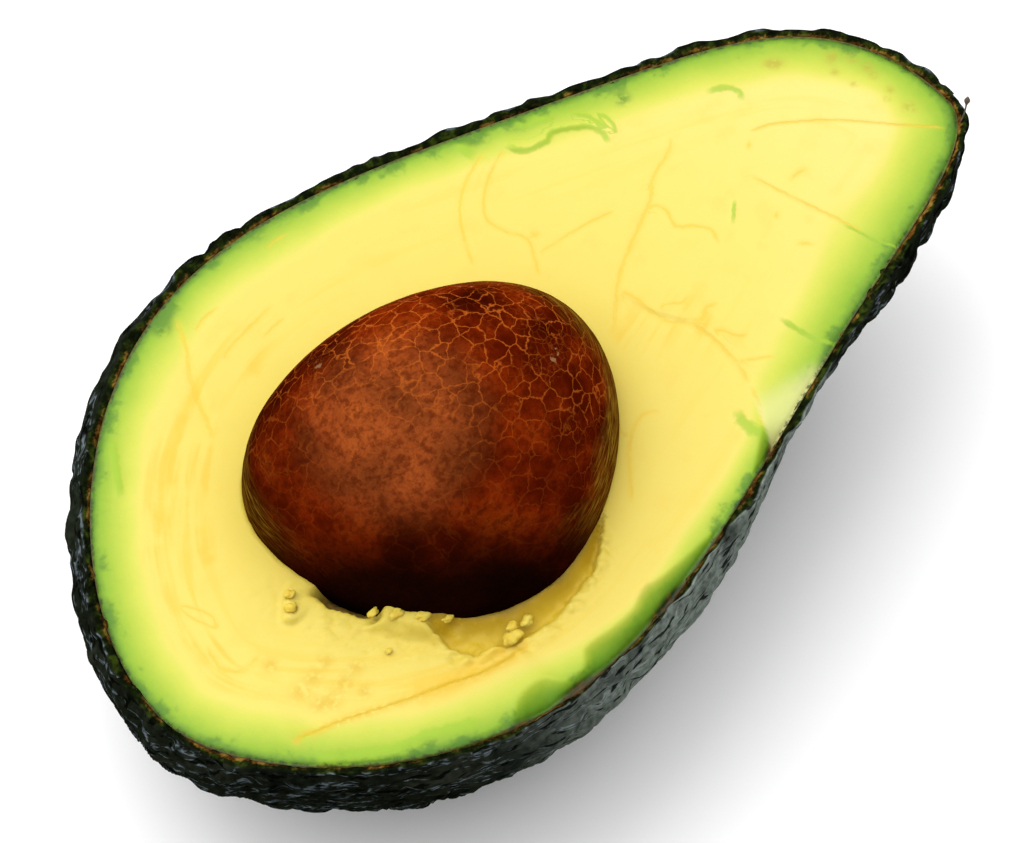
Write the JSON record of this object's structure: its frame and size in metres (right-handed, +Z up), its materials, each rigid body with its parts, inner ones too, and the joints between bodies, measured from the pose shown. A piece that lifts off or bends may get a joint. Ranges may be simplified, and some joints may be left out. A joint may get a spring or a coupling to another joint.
{
  "type": "avocado half",
  "caption": "Avocado cut in half lengthwise, lying on its skin with the cut face up and the whole seed still in its hollow.",
  "frame": {"origin": "on the floor, below the middle of the box round the half fruit", "axes": "+X towards the stem end, +Z up and square to the cut face, +Y towards the fuller side of the fruit"},
  "size_m": [0.1112, 0.0648, 0.0545],
  "materials": {
    "skin": "pebbled, semi-gloss, near black with green and brown",
    "flesh": "moist buttery yellow, green towards the skin",
    "seed": "satin red-brown seed coat with a fine network of lighter veins"
  },
  "bodies": {
    "root": {"skin": "skin", "flesh": "flesh", "seed": "seed"}
  },
  "joints": []
}
